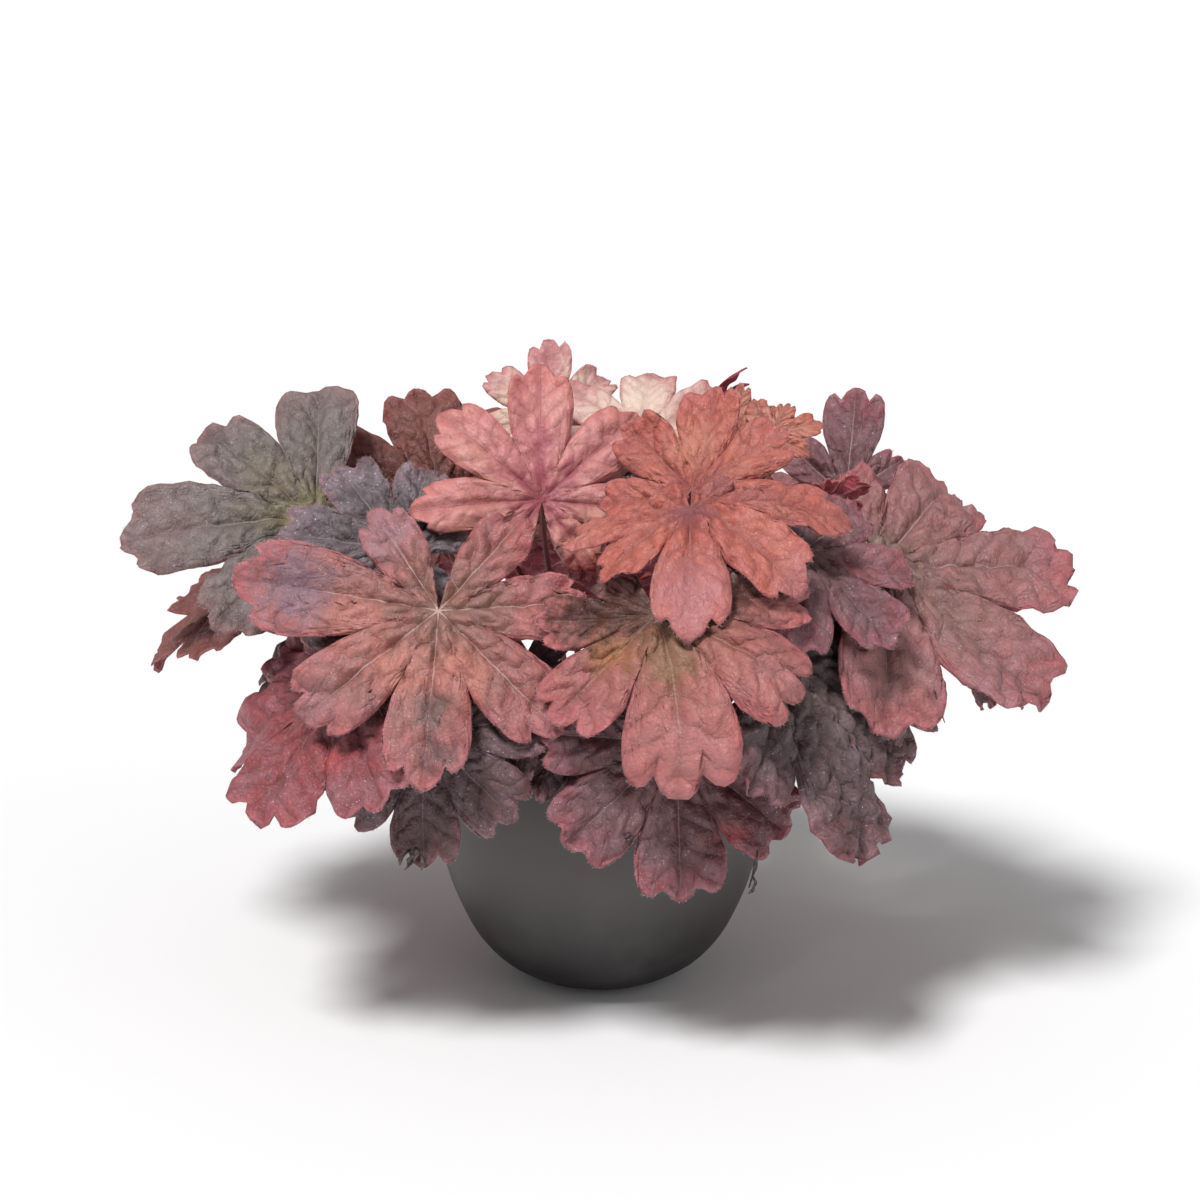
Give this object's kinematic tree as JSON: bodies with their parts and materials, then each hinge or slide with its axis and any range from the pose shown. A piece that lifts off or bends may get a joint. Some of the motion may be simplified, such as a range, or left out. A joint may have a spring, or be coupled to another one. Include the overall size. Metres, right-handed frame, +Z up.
{
  "type": "potted heuchera plant",
  "caption": "Low mound of lobed, toothed heuchera leaves on thin stalks, growing from potting soil in a round-bellied anthracite pot with a flat foot",
  "frame": {"origin": "the centre of the pot's flat underside", "axes": "+Z is up along the pot's axis, and -Y is the side seen in the picture"},
  "size_m": [0.363, 0.2928, 0.2438],
  "materials": {
    "coral": "coral and salmon leaf, finely haired, pale veins",
    "crown": "brown woody stock, rough",
    "grey": "grey-green and brown leaf, frosted with hairs",
    "plum": "dark purple-brown leaf, frosted with hairs",
    "pot": "smooth satin anthracite",
    "rose": "rose and mauve leaf, finely haired, pale veins",
    "russet": "red-brown leaf, finely haired",
    "soil": "dark crumbly potting mix, matte"
  },
  "bodies": {
    "root": {"crown": "crown", "leaf_front_left_big": "coral", "leaf_front_middle": "coral", "leaf_front_top_coral": "coral", "leaf_left_frosted": "plum", "leaf_left_grey": "grey", "leaf_left_rear_plum": "plum", "leaf_left_rose": "rose", "leaf_low_front_left": "plum", "leaf_low_front_right": "plum", "leaf_low_left": "plum", "leaf_low_left_rear": "russet", "leaf_low_rear": "grey", "leaf_low_rear_left": "plum", "leaf_low_rear_right": "plum", "leaf_low_right": "plum", "leaf_low_right_rear": "plum", "leaf_middle_crimson": "rose", "leaf_pot_front": "plum", "leaf_pot_front_left": "plum", "leaf_rear_left_grey": "grey", "leaf_rear_left_russet": "russet", "leaf_rear_right_rose": "rose", "leaf_rear_rose": "rose", "leaf_rear_top": "coral", "leaf_right_big": "rose", "leaf_right_mauve": "rose", "leaf_right_rear_mauve": "plum", "leaf_right_rear_rose": "rose", "leaf_right_wrinkled": "plum", "leaf_top_coral_rear": "coral", "leaf_top_cream": "coral", "leaf_top_crimson": "rose", "leaf_top_orange": "coral", "leaf_top_orange_right": "coral", "leaf_top_pink": "coral", "leaf_top_rear_pink": "coral", "pot": "pot", "soil": "soil"}
  },
  "joints": []
}
